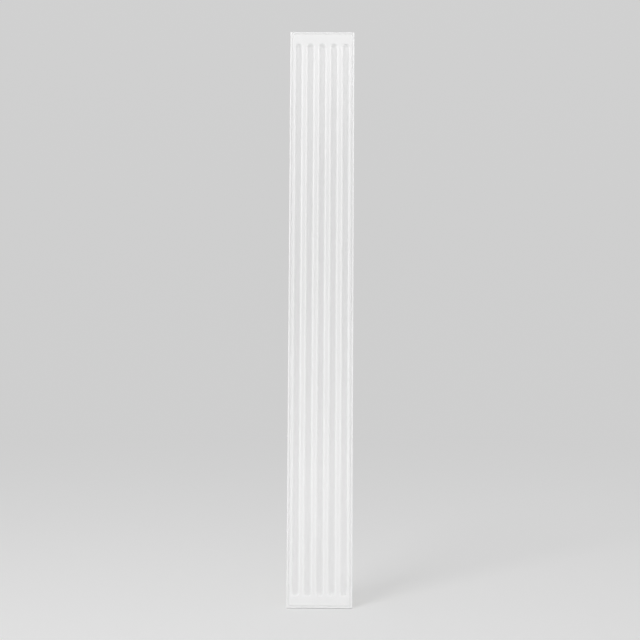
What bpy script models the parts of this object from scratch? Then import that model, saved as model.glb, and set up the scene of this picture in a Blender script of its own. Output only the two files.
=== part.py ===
"""Fluted pilaster shaft.

One moulded board with round-ended flutes down its front, a quirk and a bead round its four
front edges, and a flat back that is fixed to a wall.

Metres, +Z up. The origin is the middle of the flat back, and the front looks along -Y.
"""

import math

import bmesh
import bpy

# Board
HEIGHT = 2.000
WIDTH = 0.224
THICKNESS = 0.024

# Border round the front: a half-round bead along the edge, then a quirk sunk inside it
BEAD_WIDTH = 0.0065
QUIRK_WIDTH = 0.0036
QUIRK_DEPTH = 0.0022

# Flutes, and the flats left round them inside the border
FLUTE_COUNT = 5
FLUTE_DEPTH = 0.0075
SHOULDER_RADIUS = 0.008
LAND_WIDTH = 0.0063
SIDE_LAND = 0.0018
END_LAND = 0.0280

# Finish: white primer
PRIMER_COLOUR = (0.84, 0.84, 0.83, 1.0)
PRIMER_ROUGHNESS = 0.5

# How finely the rounds are faceted
BEAD_STEPS = 4
QUIRK_STEPS = 3
HOLLOW_STEPS = 6
SHOULDER_STEPS = 4
END_STEPS = 14
SMOOTH_ANGLE = math.radians(40)

# How far a flute's cutter stands out in front of the face
CUTTER_CLEARANCE = 0.004
# How far past the face a cutter's last facet runs, as a share of that facet
CUTTER_OVERRUN = 0.3
MERGE_DISTANCE = 0.00001

# Worked out from the sizes above
BEAD_RADIUS = BEAD_WIDTH / 2
BORDER_WIDTH = BEAD_WIDTH + QUIRK_WIDTH
FIELD_WIDTH = WIDTH - 2 * (BORDER_WIDTH + SIDE_LAND)
FLUTE_WIDTH = (FIELD_WIDTH - (FLUTE_COUNT - 1) * LAND_WIDTH) / FLUTE_COUNT
FLUTE_PITCH = FLUTE_WIDTH + LAND_WIDTH
FLUTE_REACH = HEIGHT / 2 - BORDER_WIDTH - END_LAND


def clear_scene():
    """Remove every object, so that only the shaft is left."""
    for item in list(bpy.data.objects):
        bpy.data.objects.remove(item, do_unlink=True)


def new_collection(name):
    """Make a collection in the scene."""
    collection = bpy.data.collections.new(name)
    bpy.context.scene.collection.children.link(collection)
    return collection


def primer():
    """White primer, brushed smooth and slightly silky."""
    material = bpy.data.materials.new("white_primer")
    material.use_nodes = True
    shader = material.node_tree.nodes["Principled BSDF"]
    shader.inputs["Base Color"].default_value = PRIMER_COLOUR
    shader.inputs["Roughness"].default_value = PRIMER_ROUGHNESS
    shader.inputs["Metallic"].default_value = 0.0
    material.diffuse_color = PRIMER_COLOUR
    return material


def new_object(name, mesh_data, collection, material):
    """Turn a finished bmesh into a smooth shaded object."""
    mesh = bpy.data.meshes.new(name)
    mesh_data.to_mesh(mesh)
    mesh_data.free()
    mesh.materials.append(material)
    mesh.shade_smooth()
    mesh.set_sharp_from_angle(angle=SMOOTH_ANGLE)
    item = bpy.data.objects.new(name, mesh)
    collection.objects.link(item)
    return item


def border_profile():
    """The border's section as (distance in from the edge, height above the bead's foot).

    The bead rises round from the edge to its crown, which is level with the face, and falls
    round to the quirk's floor. From there the quirk sweeps up to the face.
    """
    points = []
    for step in range(BEAD_STEPS + 1):
        angle = math.radians(90) * step / BEAD_STEPS
        points.append((BEAD_RADIUS * (1 - math.cos(angle)), BEAD_RADIUS * math.sin(angle)))
    floor_turn = math.acos(1 - QUIRK_DEPTH / BEAD_RADIUS)
    for step in range(1, BEAD_STEPS + 1):
        angle = floor_turn * step / BEAD_STEPS
        points.append((BEAD_RADIUS * (1 + math.sin(angle)), BEAD_RADIUS * math.cos(angle)))
    floor = points[-1][0]
    for step in range(1, QUIRK_STEPS + 1):
        share = step / QUIRK_STEPS
        sink = QUIRK_DEPTH * math.cos(math.radians(90) * share)
        points.append((floor + (BORDER_WIDTH - floor) * share, BEAD_RADIUS - sink))
    return points


def board():
    """The board, whose front face is inset again and again along the border's profile."""
    mesh_data = bmesh.new()
    bmesh.ops.create_cube(mesh_data, size=1.0)
    body_thickness = THICKNESS - BEAD_RADIUS
    bmesh.ops.scale(mesh_data, vec=(WIDTH, body_thickness, HEIGHT), verts=mesh_data.verts)
    bmesh.ops.translate(mesh_data, vec=(0, -body_thickness / 2, 0), verts=mesh_data.verts)
    front = min(mesh_data.faces, key=lambda face: face.calc_center_median().y)
    profile = border_profile()
    for (inner, low), (outer, high) in zip(profile, profile[1:]):
        bmesh.ops.inset_region(
            mesh_data, faces=[front], thickness=outer - inner, depth=high - low,
            use_even_offset=True)
    return mesh_data


def flute_section():
    """Half a flute's section as (distance from its middle, depth below the face).

    A round hollow runs into a round shoulder, which meets the face without a hard edge.
    """
    half_width = FLUTE_WIDTH / 2
    both_radii = (half_width ** 2 + FLUTE_DEPTH ** 2) / (2 * FLUTE_DEPTH)
    shoulder_radius = min(SHOULDER_RADIUS, both_radii / 2)
    hollow_radius = both_radii - shoulder_radius
    turn = math.asin(half_width / both_radii)
    points = []
    for step in range(HOLLOW_STEPS + 1):
        angle = turn * step / HOLLOW_STEPS
        points.append((
            hollow_radius * math.sin(angle),
            FLUTE_DEPTH - hollow_radius * (1 - math.cos(angle))))
    for step in range(1, SHOULDER_STEPS + 1):
        angle = turn * (1 - step / SHOULDER_STEPS)
        points.append((
            half_width - shoulder_radius * math.sin(angle),
            shoulder_radius * (1 - math.cos(angle))))
    return points


def cutter_outline():
    """A flute's section closed in front of the face, from the hollow's middle to the lid's."""
    section = flute_section()
    (before, depth_before), (rim, depth_rim) = section[-2:]
    overrun = (
        rim + CUTTER_OVERRUN * (rim - before),
        depth_rim + CUTTER_OVERRUN * (depth_rim - depth_before))
    section[-1] = overrun
    section.append((overrun[0], -CUTTER_CLEARANCE))
    section.append((0.0, -CUTTER_CLEARANCE))
    return section


def flute_cutter():
    """A flute's cutter: its section turned round each end, and drawn straight between them."""
    top_centre = FLUTE_REACH - FLUTE_WIDTH / 2
    bottom_centre = -top_centre
    mesh_data = bmesh.new()
    verts = [mesh_data.verts.new((across, depth - THICKNESS, top_centre))
             for across, depth in cutter_outline()]
    outline = [mesh_data.edges.new(pair) for pair in zip(verts, verts[1:])]
    for centre, other_centre in ((top_centre, bottom_centre), (bottom_centre, top_centre)):
        turned = bmesh.ops.spin(
            mesh_data, geom=outline, cent=(0, 0, centre), axis=(0, 1, 0),
            angle=-math.pi, steps=END_STEPS)
        last = [part for part in turned["geom_last"] if isinstance(part, bmesh.types.BMEdge)]
        drawn = bmesh.ops.extrude_edge_only(mesh_data, edges=last)["geom"]
        moved = [part for part in drawn if isinstance(part, bmesh.types.BMVert)]
        bmesh.ops.translate(mesh_data, vec=(0, 0, other_centre - centre), verts=moved)
        outline = [part for part in drawn if isinstance(part, bmesh.types.BMEdge)]
    bmesh.ops.remove_doubles(mesh_data, verts=mesh_data.verts, dist=MERGE_DISTANCE)
    bmesh.ops.recalc_face_normals(mesh_data, faces=mesh_data.faces)
    return mesh_data


def build_shaft():
    """Build the board and cut the flutes in it."""
    material = primer()
    shaft = new_object("pilaster_shaft", board(), new_collection("fluted_pilaster"), material)
    cutters = new_collection("cutters")
    for number in range(FLUTE_COUNT):
        cutter = new_object(f"flute_cutter_{number + 1}", flute_cutter(), cutters, material)
        cutter.location.x = (number - (FLUTE_COUNT - 1) / 2) * FLUTE_PITCH
        cutter.display_type = 'WIRE'
        cutter.hide_render = True
    flutes = shaft.modifiers.new("flutes", 'BOOLEAN')
    flutes.operation = 'DIFFERENCE'
    flutes.operand_type = 'COLLECTION'
    flutes.collection = cutters
    flutes.solver = 'EXACT'


clear_scene()
build_shaft()
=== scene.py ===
import math

import bmesh
import bpy
from mathutils import Matrix, Vector


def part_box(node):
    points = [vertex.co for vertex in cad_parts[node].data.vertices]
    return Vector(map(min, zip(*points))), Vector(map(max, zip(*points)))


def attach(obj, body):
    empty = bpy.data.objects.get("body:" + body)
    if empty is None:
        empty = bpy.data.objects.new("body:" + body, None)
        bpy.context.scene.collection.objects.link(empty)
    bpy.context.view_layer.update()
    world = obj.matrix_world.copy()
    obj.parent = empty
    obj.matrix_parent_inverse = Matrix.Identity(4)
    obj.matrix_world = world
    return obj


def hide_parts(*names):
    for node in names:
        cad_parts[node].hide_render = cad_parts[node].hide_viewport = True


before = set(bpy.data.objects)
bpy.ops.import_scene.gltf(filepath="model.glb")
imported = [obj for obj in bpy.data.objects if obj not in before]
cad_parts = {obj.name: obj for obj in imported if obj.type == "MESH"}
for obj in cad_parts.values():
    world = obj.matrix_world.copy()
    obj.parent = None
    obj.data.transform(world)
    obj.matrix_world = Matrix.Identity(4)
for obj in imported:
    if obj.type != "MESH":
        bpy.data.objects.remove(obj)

scene = bpy.context.scene
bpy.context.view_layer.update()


# The camera looks straight at the fluted front from a little below its middle, through a long lens,
# and is rolled by a third of a degree, so that the shaft stands in the frame as it does in the
# photograph.
CAMERA_DISTANCE = 4.0
CAMERA_LENS = 65.0
CAMERA_LOOKS_UP = math.radians(3.56)
CAMERA_ROLL = math.radians(-0.332)
CAMERA_AIM = Vector((-0.00286, -0.024, -0.0145))

sight = Vector((0, math.cos(CAMERA_LOOKS_UP), math.sin(CAMERA_LOOKS_UP)))
camera_data = bpy.data.cameras.new("camera")
camera_data.lens = CAMERA_LENS
camera = bpy.data.objects.new("camera", camera_data)
scene.collection.objects.link(camera)
camera.matrix_world = (
    Matrix.Translation(CAMERA_AIM - CAMERA_DISTANCE * sight)
    @ Matrix.Rotation(CAMERA_ROLL, 4, sight)
    @ sight.to_track_quat('-Z', 'Y').to_matrix().to_4x4())
scene.camera = camera
scene.view_settings.view_transform = 'Standard'


# The shaft is one rigid foam moulding: a board with a bead and a quirk round its four front edges,
# and five flutes whose round hollows run into round shoulders. Front, sides and ends are sprayed
# with white primer, and the bare back is planed flat for the glue.
BEAD_WIDTH = 0.0065
QUIRK_WIDTH = 0.0036
QUIRK_DEPTH = 0.0022
FLUTE_COUNT = 5
FLUTE_DEPTH = 0.0075
SHOULDER_RADIUS = 0.008
LAND_WIDTH = 0.0063
SIDE_LAND = 0.0018
END_LAND = 0.0280
BEAD_STEPS = 8
QUIRK_STEPS = 6
HOLLOW_STEPS = 20
SHOULDER_STEPS = 10
END_SEGMENTS = 80
HOLLOW_FLOOR = 0.0004
BACK_EDGE_ROUNDING = 0.0005
BACK_EDGE_SEGMENTS = 2
BACK_EDGE_PROFILE = 0.5
SHARP_ANGLE = math.radians(30)
GRAIN_MIDDLE = (0.3, 0.7)
PRIMER_GREY = (0.80, 0.82)
PRIMER_MOTTLE = (-0.004, 0.004)
PRIMER_ROUGHNESS = (0.44, 0.56)
PRIMER_PEEL_HEIGHT = 0.00002
CLOUD_SPACING = (0.09, 0.09, 0.35)
MOTTLE_SPACING = (0.006, 0.006, 0.009)
PEEL_SPACING = (0.0016, 0.0016, 0.0016)
CLOUD_DETAIL = 3
MOTTLE_DETAIL = 4
SHEEN_DETAIL = 2
PEEL_DETAIL = 2
FOAM_PALE = (0.80, 0.785, 0.745, 1)
FOAM_WORN = (0.735, 0.72, 0.68, 1)
FOAM_PLANING_SHADE = (0.4, 1.0)
FOAM_PORE_SHADE = (0.86, 1.0)
FOAM_ROUGHNESS = (0.78, 0.92)
FOAM_MARK_HEIGHT = 0.00006
PLANING_SPACING = (0.007, 0.007, 0.6)
PORE_SPACING = (0.0014, 0.0014, 0.0014)
PLANING_DETAIL = 4
PORE_DETAIL = 3

low_corner, high_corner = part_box("pilaster_shaft")
width, thickness, height = high_corner - low_corner
front_y = low_corner.y
bead_radius = BEAD_WIDTH / 2
border_width = BEAD_WIDTH + QUIRK_WIDTH
field_width = width - 2 * (border_width + SIDE_LAND)
flute_width = (field_width - (FLUTE_COUNT - 1) * LAND_WIDTH) / FLUTE_COUNT
flute_pitch = flute_width + LAND_WIDTH
flute_reach = height / 2 - border_width - END_LAND - flute_width / 2


def border_profile():
    """The border's section as (distance in from the edge, height above the bead's foot)."""
    points = []
    for step in range(BEAD_STEPS + 1):
        angle = math.radians(90) * step / BEAD_STEPS
        points.append((bead_radius * (1 - math.cos(angle)), bead_radius * math.sin(angle)))
    floor_turn = math.acos(1 - QUIRK_DEPTH / bead_radius)
    for step in range(1, BEAD_STEPS + 1):
        angle = floor_turn * step / BEAD_STEPS
        points.append((bead_radius * (1 + math.sin(angle)), bead_radius * math.cos(angle)))
    floor = points[-1][0]
    for step in range(1, QUIRK_STEPS + 1):
        share = step / QUIRK_STEPS
        sink = QUIRK_DEPTH * math.cos(math.radians(90) * share)
        points.append((floor + (border_width - floor) * share, bead_radius - sink))
    return points


def flute_profile():
    """Half a flute's section as (distance in from its rim, depth below the face)."""
    half_width = flute_width / 2
    both_radii = (half_width ** 2 + FLUTE_DEPTH ** 2) / (2 * FLUTE_DEPTH)
    hollow_radius = both_radii - SHOULDER_RADIUS
    turn = math.asin(half_width / both_radii)
    points = []
    for step in range(SHOULDER_STEPS + 1):
        angle = turn * step / SHOULDER_STEPS
        points.append((SHOULDER_RADIUS * math.sin(angle), SHOULDER_RADIUS * (1 - math.cos(angle))))
    last_turn = math.asin(HOLLOW_FLOOR / hollow_radius)
    for step in range(1, HOLLOW_STEPS + 1):
        angle = turn + (last_turn - turn) * step / HOLLOW_STEPS
        points.append((
            half_width - hollow_radius * math.sin(angle),
            FLUTE_DEPTH - hollow_radius * (1 - math.cos(angle))))
    return points


def new_finish(name):
    """A material with its node tree and its shader."""
    material = bpy.data.materials.new(name)
    material.use_nodes = True
    return material, material.node_tree, material.node_tree.nodes["Principled BSDF"]


def grain(tree, spacing, detail):
    """Soft grain over the object, with the given distances between its spots along X, Y and Z."""
    place = tree.nodes.new('ShaderNodeTexCoord')
    stretch = tree.nodes.new('ShaderNodeMapping')
    stretch.inputs["Scale"].default_value = [1 / distance for distance in spacing]
    noise = tree.nodes.new('ShaderNodeTexNoise')
    noise.inputs["Scale"].default_value = 1.0
    noise.inputs["Detail"].default_value = detail
    tree.links.new(place.outputs["Object"], stretch.inputs["Vector"])
    tree.links.new(stretch.outputs["Vector"], noise.inputs["Vector"])
    return noise.outputs["Fac"]


def ranged(tree, value, from_limits, to_limits, easing='LINEAR'):
    """A value drawn from one pair of limits to another."""
    drawn = tree.nodes.new('ShaderNodeMapRange')
    drawn.interpolation_type = easing
    drawn.inputs["From Min"].default_value, drawn.inputs["From Max"].default_value = from_limits
    drawn.inputs["To Min"].default_value, drawn.inputs["To Max"].default_value = to_limits
    tree.links.new(value, drawn.inputs["Value"])
    return drawn.outputs["Result"]


def spread(tree, grains, limits):
    """The grain's middle range drawn out between two limits."""
    return ranged(tree, grains, GRAIN_MIDDLE, limits)


def join_values(tree, operation, first, second):
    """Two values joined by one operation."""
    joined = tree.nodes.new('ShaderNodeMath')
    joined.operation = operation
    tree.links.new(first, joined.inputs[0])
    tree.links.new(second, joined.inputs[1])
    return joined.outputs["Value"]


def emboss(tree, shader, grains, height):
    """Let the grain stand out of the surface by a height."""
    bump = tree.nodes.new('ShaderNodeBump')
    bump.inputs["Distance"].default_value = height
    tree.links.new(grains, bump.inputs["Height"])
    tree.links.new(bump.outputs["Normal"], shader.inputs["Normal"])


def white_primer():
    """Sprayed white primer: faintly cloudy, with the fine peel that a spray gun leaves."""
    material, tree, shader = new_finish("white_primer")
    clouds = spread(tree, grain(tree, CLOUD_SPACING, CLOUD_DETAIL), PRIMER_GREY)
    mottle = spread(tree, grain(tree, MOTTLE_SPACING, MOTTLE_DETAIL), PRIMER_MOTTLE)
    tree.links.new(join_values(tree, 'ADD', clouds, mottle), shader.inputs["Base Color"])
    tree.links.new(
        spread(tree, grain(tree, MOTTLE_SPACING, SHEEN_DETAIL), PRIMER_ROUGHNESS),
        shader.inputs["Roughness"])
    emboss(tree, shader, grain(tree, PEEL_SPACING, PEEL_DETAIL), PRIMER_PEEL_HEIGHT)
    return material


def planed_foam():
    """Bare rigid foam: creamy white, finely pored, with long faint marks of the planer."""
    material, tree, shader = new_finish("planed_foam")
    planing = grain(tree, PLANING_SPACING, PLANING_DETAIL)
    pores = grain(tree, PORE_SPACING, PORE_DETAIL)
    blend = tree.nodes.new('ShaderNodeMix')
    blend.data_type = 'RGBA'
    blend.inputs["A"].default_value = FOAM_WORN
    blend.inputs["B"].default_value = FOAM_PALE
    pale_share = join_values(
        tree, 'MULTIPLY', spread(tree, planing, FOAM_PLANING_SHADE),
        spread(tree, pores, FOAM_PORE_SHADE))
    tree.links.new(pale_share, blend.inputs["Factor"])
    tree.links.new(blend.outputs["Result"], shader.inputs["Base Color"])
    tree.links.new(spread(tree, planing, FOAM_ROUGHNESS), shader.inputs["Roughness"])
    emboss(tree, shader, join_values(tree, 'ADD', planing, pores), FOAM_MARK_HEIGHT)
    return material


def sink_faces(mesh_data, faces, profile, direction):
    """Inset the faces again and again, so that their rims follow a section's profile."""
    for (rim, low), (inner_rim, high) in zip(profile, profile[1:]):
        bmesh.ops.inset_region(
            mesh_data, faces=faces, thickness=inner_rim - rim, depth=direction * (high - low),
            use_even_offset=True)


def flute_rim(mesh_data, middle_x):
    """A flute's rim on the face: a ring pulled apart into two half rounds with straight sides."""
    ring = bmesh.ops.create_circle(
        mesh_data, segments=END_SEGMENTS, radius=flute_width / 2)["verts"]
    half_step = Matrix.Rotation(math.pi / END_SEGMENTS, 3, 'Z')
    upright = Matrix.Rotation(math.radians(90), 3, 'X')
    bmesh.ops.rotate(mesh_data, verts=ring, cent=(0, 0, 0), matrix=half_step)
    bmesh.ops.rotate(mesh_data, verts=ring, cent=(0, 0, 0), matrix=upright)
    for side in (1, -1):
        half = [vert for vert in ring if vert.co.z * side > 0]
        bmesh.ops.translate(mesh_data, verts=half, vec=(0, 0, side * flute_reach))
    bmesh.ops.translate(mesh_data, verts=ring, vec=(middle_x, front_y, 0))
    return list({edge for vert in ring for edge in vert.link_edges})


mesh_data = bmesh.new()
bmesh.ops.create_cube(mesh_data, size=1.0)
body_thickness = thickness - bead_radius
bmesh.ops.scale(mesh_data, verts=mesh_data.verts, vec=(width, body_thickness, height))
bmesh.ops.translate(mesh_data, verts=mesh_data.verts, vec=(0, -body_thickness / 2, 0))
back = max(mesh_data.faces, key=lambda face: face.calc_center_median().y)
back.material_index = 1
bmesh.ops.bevel(
    mesh_data, geom=list(back.edges), offset=BACK_EDGE_ROUNDING, offset_type='OFFSET',
    affect='EDGES', segments=BACK_EDGE_SEGMENTS, profile=BACK_EDGE_PROFILE, material=0)
field = min(mesh_data.faces, key=lambda face: face.calc_center_median().y)
sink_faces(mesh_data, [field], border_profile(), 1)

field_edges = list(field.edges)
bmesh.ops.delete(mesh_data, geom=[field], context='FACES_ONLY')
rims = [flute_rim(mesh_data, (number - (FLUTE_COUNT - 1) / 2) * flute_pitch)
        for number in range(FLUTE_COUNT)]
bmesh.ops.triangle_fill(
    mesh_data, use_beauty=True, normal=(0, -1, 0),
    edges=field_edges + [edge for rim in rims for edge in rim])
flutes = [bmesh.ops.contextual_create(mesh_data, geom=rim)["faces"][0] for rim in rims]
bmesh.ops.recalc_face_normals(mesh_data, faces=mesh_data.faces)
sink_faces(mesh_data, flutes, flute_profile(), -1)

mesh = bpy.data.meshes.new("fluted_shaft")
mesh_data.to_mesh(mesh)
mesh_data.free()
mesh.shade_smooth()
mesh.set_sharp_from_angle(angle=SHARP_ANGLE)
mesh.materials.append(white_primer())
mesh.materials.append(planed_foam())
shaft = bpy.data.objects.new("fluted_shaft", mesh)
scene.collection.objects.link(shaft)
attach(shaft, "root")
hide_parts("pilaster_shaft")


# The studio is an even, pale grey cove, a little dimmer in front of the shaft, over a plain pale
# floor that fades into it. The shaft stands on the floor by its square lower end.
ROOM_SIDES = 0.62
ROOM_TOP = 0.76
ROOM_FRONT = 0.53
ROOM_REAR = 0.62
ROOM_TURN = 0.05
FLOOR_GREY = 0.92
FLOOR_RADIUS = 60.0
FLOOR_SEGMENTS = 64
FLOOR_GAP = 0.0003
FLOOR_FADE = (4.0, 15.0)


def room_brightness(tree, direction):
    """How bright the cove is in a direction: its sides, top, front and rear each have a share."""
    parts = tree.nodes.new('ShaderNodeSeparateXYZ')
    tree.links.new(direction, parts.inputs["Vector"])
    along = ranged(
        tree, parts.outputs["Y"], (-ROOM_TURN, ROOM_TURN), (ROOM_FRONT, ROOM_REAR), 'SMOOTHSTEP')
    squares = tree.nodes.new('ShaderNodeVectorMath')
    squares.operation = 'MULTIPLY'
    tree.links.new(direction, squares.inputs[0])
    tree.links.new(direction, squares.inputs[1])
    shares = tree.nodes.new('ShaderNodeCombineXYZ')
    shares.inputs["X"].default_value = ROOM_SIDES
    shares.inputs["Z"].default_value = ROOM_TOP
    tree.links.new(along, shares.inputs["Y"])
    total = tree.nodes.new('ShaderNodeVectorMath')
    total.operation = 'DOT_PRODUCT'
    tree.links.new(squares.outputs["Vector"], total.inputs[0])
    tree.links.new(shares.outputs["Vector"], total.inputs[1])
    return total.outputs["Value"]


room = bpy.data.worlds.new("studio_cove")
room.use_nodes = True
room_shader = room.node_tree.nodes["Background"]
room_shader.inputs["Color"].default_value = (1, 1, 1, 1)
room_direction = room.node_tree.nodes.new('ShaderNodeTexCoord').outputs["Generated"]
room.node_tree.links.new(
    room_brightness(room.node_tree, room_direction), room_shader.inputs["Strength"])
scene.world = room

floor_data = bmesh.new()
bmesh.ops.create_circle(floor_data, cap_ends=True, segments=FLOOR_SEGMENTS, radius=FLOOR_RADIUS)
bmesh.ops.translate(floor_data, verts=floor_data.verts, vec=(0, 0, low_corner.z - FLOOR_GAP))
floor_mesh = bpy.data.meshes.new("studio_floor")
floor_data.to_mesh(floor_mesh)
floor_data.free()
floor_finish, floor_tree, floor_shader = new_finish("studio_floor")
floor_shader.inputs["Base Color"].default_value = (FLOOR_GREY, FLOOR_GREY, FLOOR_GREY, 1)
floor_shader.inputs["Roughness"].default_value = 1.0
floor_shader.inputs["Specular IOR Level"].default_value = 0.0
floor_place = floor_tree.nodes.new('ShaderNodeTexCoord').outputs["Object"]
outward = floor_tree.nodes.new('ShaderNodeVectorMath')
outward.operation = 'NORMALIZE'
floor_tree.links.new(floor_place, outward.inputs[0])
reach_out = floor_tree.nodes.new('ShaderNodeVectorMath')
reach_out.operation = 'LENGTH'
floor_tree.links.new(floor_place, reach_out.inputs[0])
far_floor = floor_tree.nodes.new('ShaderNodeEmission')
floor_tree.links.new(
    room_brightness(floor_tree, outward.outputs["Vector"]), far_floor.inputs["Strength"])
fade = floor_tree.nodes.new('ShaderNodeMixShader')
floor_tree.links.new(
    ranged(floor_tree, reach_out.outputs["Value"], FLOOR_FADE, (0.0, 1.0), 'SMOOTHSTEP'),
    fade.inputs["Fac"])
floor_tree.links.new(floor_shader.outputs["BSDF"], fade.inputs[1])
floor_tree.links.new(far_floor.outputs["Emission"], fade.inputs[2])
floor_tree.links.new(
    fade.outputs["Shader"], floor_tree.nodes["Material Output"].inputs["Surface"])
floor_mesh.materials.append(floor_finish)
floor = bpy.data.objects.new("studio_floor", floor_mesh)
scene.collection.objects.link(floor)


# Two tall lamps graze the shaft's front from the left and the right, so that the flutes' shoulders
# catch the light. A high and a low lamp fill the front, and one lights the back. They light only
# the shaft. A sixth, high on the left, lights only the floor, where the shaft's soft shadow falls.
STRIP_REACH = 2.57
STRIP_FORWARD = 0.28
STRIP_HEIGHT = 0.2
STRIP_SIZE = (0.6, 4.4)


def lit_alone(piece):
    """A collection of the one piece that a lamp lights."""
    collection = bpy.data.collections.new(f"{piece.name}_alone")
    collection.objects.link(piece)
    return collection


def soft_lamp(name, place, target, size, power, lit):
    """A soft rectangular lamp that looks at a target and lights one piece, itself unseen."""
    lamp_data = bpy.data.lights.new(name, 'AREA')
    lamp_data.shape = 'RECTANGLE'
    lamp_data.size, lamp_data.size_y = size
    lamp_data.energy = power
    lamp = bpy.data.objects.new(name, lamp_data)
    lamp.visible_camera = False
    lamp.light_linking.receiver_collection = lit
    scene.collection.objects.link(lamp)
    turn = (Vector(target) - Vector(place)).to_track_quat('-Z', 'Y').to_matrix().to_4x4()
    lamp.matrix_world = Matrix.Translation(place) @ turn


on_shaft = lit_alone(shaft)
for name, side, power in (("left_strip", -1, 54), ("right_strip", 1, 48)):
    soft_lamp(
        name, place=(side * STRIP_REACH, -STRIP_FORWARD, STRIP_HEIGHT), target=(0, 0, STRIP_HEIGHT),
        size=STRIP_SIZE, power=power, lit=on_shaft)
soft_lamp(
    "high_front_fill", place=(0, -1.2, 1.8), target=(0, 0, 0.6),
    size=(1.6, 0.4), power=8.7, lit=on_shaft)
soft_lamp(
    "low_front_fill", place=(0, -1.3, -0.78), target=(0, 0, -0.8),
    size=(2.4, 0.36), power=5.5, lit=on_shaft)
soft_lamp(
    "back_fill", place=(0, 3.4, 0.7), target=(0, 0, -0.1),
    size=(1.5, 1.5), power=42, lit=on_shaft)
soft_lamp(
    "floor_lamp", place=(-1.8, -3.4, 3.4), target=(0, 0, -1.0),
    size=(1.5, 1.5), power=46, lit=lit_alone(floor))
